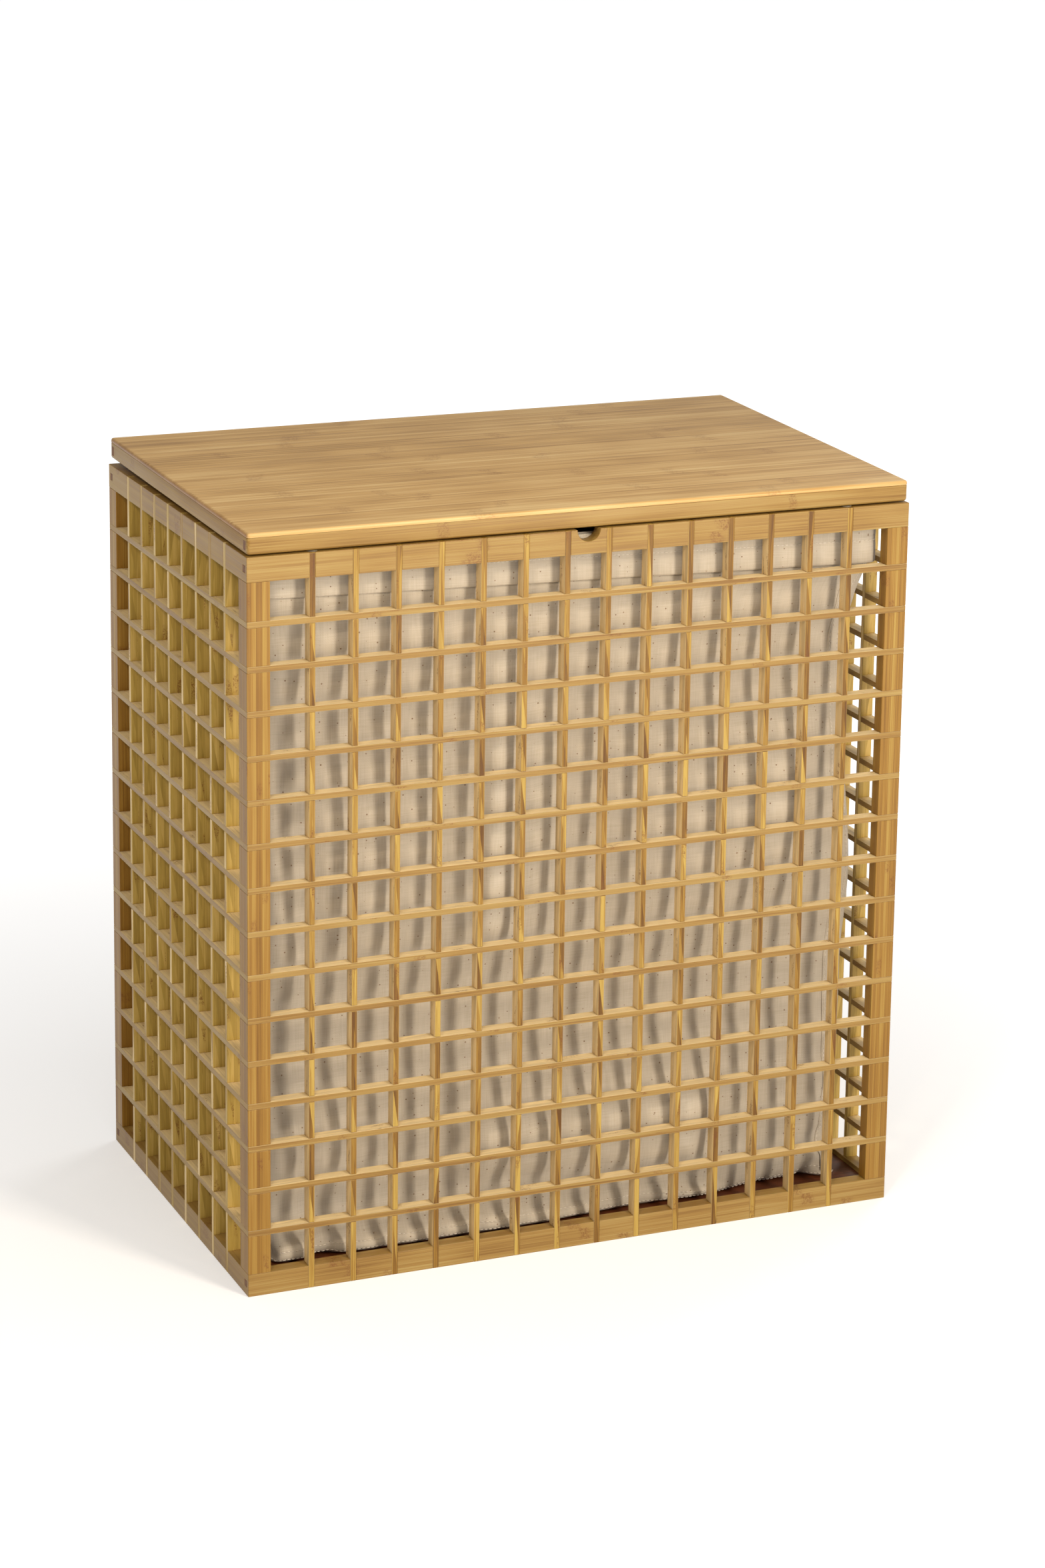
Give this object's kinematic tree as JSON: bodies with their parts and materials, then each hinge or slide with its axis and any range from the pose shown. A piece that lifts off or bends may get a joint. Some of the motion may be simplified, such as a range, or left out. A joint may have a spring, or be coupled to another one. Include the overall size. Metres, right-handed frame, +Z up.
{
  "type": "slatted laundry hamper with liner",
  "caption": "Rectangular bamboo lattice laundry hamper with a flat hinged lid, a half-round finger notch in the front rail and a fabric liner inside.",
  "frame": {"origin": "centre of the base, on the surface that the hamper stands on", "axes": "+X along the front from left to right, +Y from front to back, +Z up"},
  "size_m": [0.52, 0.325, 0.5735],
  "materials": {
    "bamboo_frame": "laminated bamboo, sanded and clear lacquered satin",
    "bamboo_slats": "solid bamboo slats, sanded and clear lacquered satin",
    "lid_board": "edge-glued bamboo board, satin lacquer",
    "floor_board": "dark bamboo plywood, satin",
    "canvas": "unbleached cotton canvas, plain weave",
    "hook_and_loop": "woven hook and loop tape",
    "hinge_steel": "nickel plated steel",
    "clear_bumper": "soft clear bumper"
  },
  "bodies": {
    "root": {"front_top_rail": "bamboo_frame", "front_bottom_rail": "bamboo_frame", "front_left_stile": "bamboo_frame", "front_right_stile": "bamboo_frame", "front_uprights": "bamboo_slats", "front_crossbars": "bamboo_slats", "back_top_rail": "bamboo_frame", "back_bottom_rail": "bamboo_frame", "back_left_stile": "bamboo_frame", "back_right_stile": "bamboo_frame", "back_uprights": "bamboo_slats", "back_crossbars": "bamboo_slats", "left_top_rail": "bamboo_frame", "left_bottom_rail": "bamboo_frame", "left_front_stile": "bamboo_frame", "left_back_stile": "bamboo_frame", "left_uprights": "bamboo_slats", "left_crossbars": "bamboo_slats", "right_top_rail": "bamboo_frame", "right_bottom_rail": "bamboo_frame", "right_front_stile": "bamboo_frame", "right_back_stile": "bamboo_frame", "right_uprights": "bamboo_slats", "right_crossbars": "bamboo_slats", "top_corner_pegs": "bamboo_slats", "bottom_corner_pegs": "bamboo_slats", "floor_panel": "floor_board", "floor_cleats": "bamboo_slats", "lid_bumpers": "clear_bumper", "left_hinge_body_leaf": "hinge_steel", "left_hinge_pin": "hinge_steel", "right_hinge_body_leaf": "hinge_steel", "right_hinge_pin": "hinge_steel", "hinge_body_screws": "hinge_steel", "liner_front": "canvas", "liner_back": "canvas", "liner_left": "canvas", "liner_right": "canvas", "liner_base": "canvas", "liner_cuff": "canvas", "liner_loop_strips": "hook_and_loop", "frame_hook_strips": "hook_and_loop"},
    "lid": {"lid_board": "lid_board", "lid_front_rail": "bamboo_frame", "lid_back_rail": "bamboo_frame", "lid_left_rail": "bamboo_frame", "lid_right_rail": "bamboo_frame", "lid_corner_pegs": "bamboo_frame", "left_hinge_lid_leaf": "hinge_steel", "right_hinge_lid_leaf": "hinge_steel", "hinge_lid_screws": "hinge_steel"}
  },
  "joints": [
    {"name": "lid_hinge", "type": "hinge", "parent": "root", "child": "lid", "pos_m": [0, 0.16, 0.5551], "axis": [-1, 0, 0], "range_deg": [0, 110]}
  ]
}
